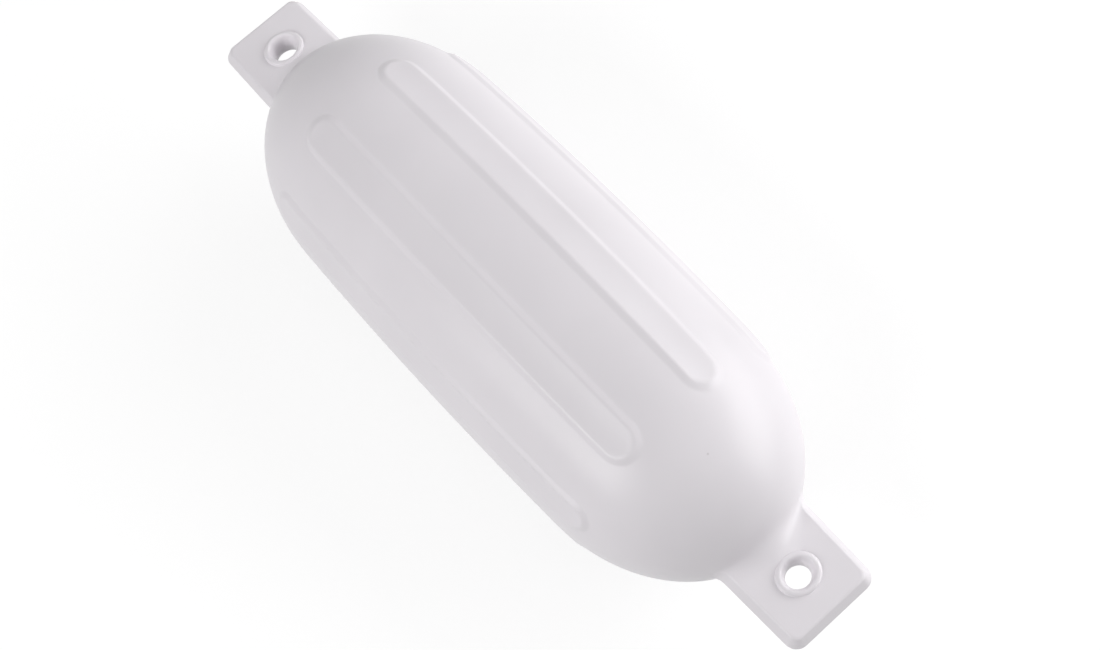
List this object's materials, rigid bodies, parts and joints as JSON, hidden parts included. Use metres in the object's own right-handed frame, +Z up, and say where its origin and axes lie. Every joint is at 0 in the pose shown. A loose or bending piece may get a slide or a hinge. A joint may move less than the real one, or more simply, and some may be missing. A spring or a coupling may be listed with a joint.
{
  "type": "boat fender",
  "caption": "White inflatable boat fender: a ribbed barrel body with domed ends and a flat tab with a rope eye at each end.",
  "frame": {"origin": "on the ground under the middle of the body, which lies on its side", "axes": "+X along the fender from one tab to the other, +Y across it in the plane of the tabs, +Z up, square to the tabs"},
  "size_m": [0.686, 0.208, 0.2081],
  "materials": {
    "white_vinyl": "smooth glossy moulded vinyl"
  },
  "bodies": {
    "root": {"fender": "white_vinyl"}
  },
  "joints": []
}
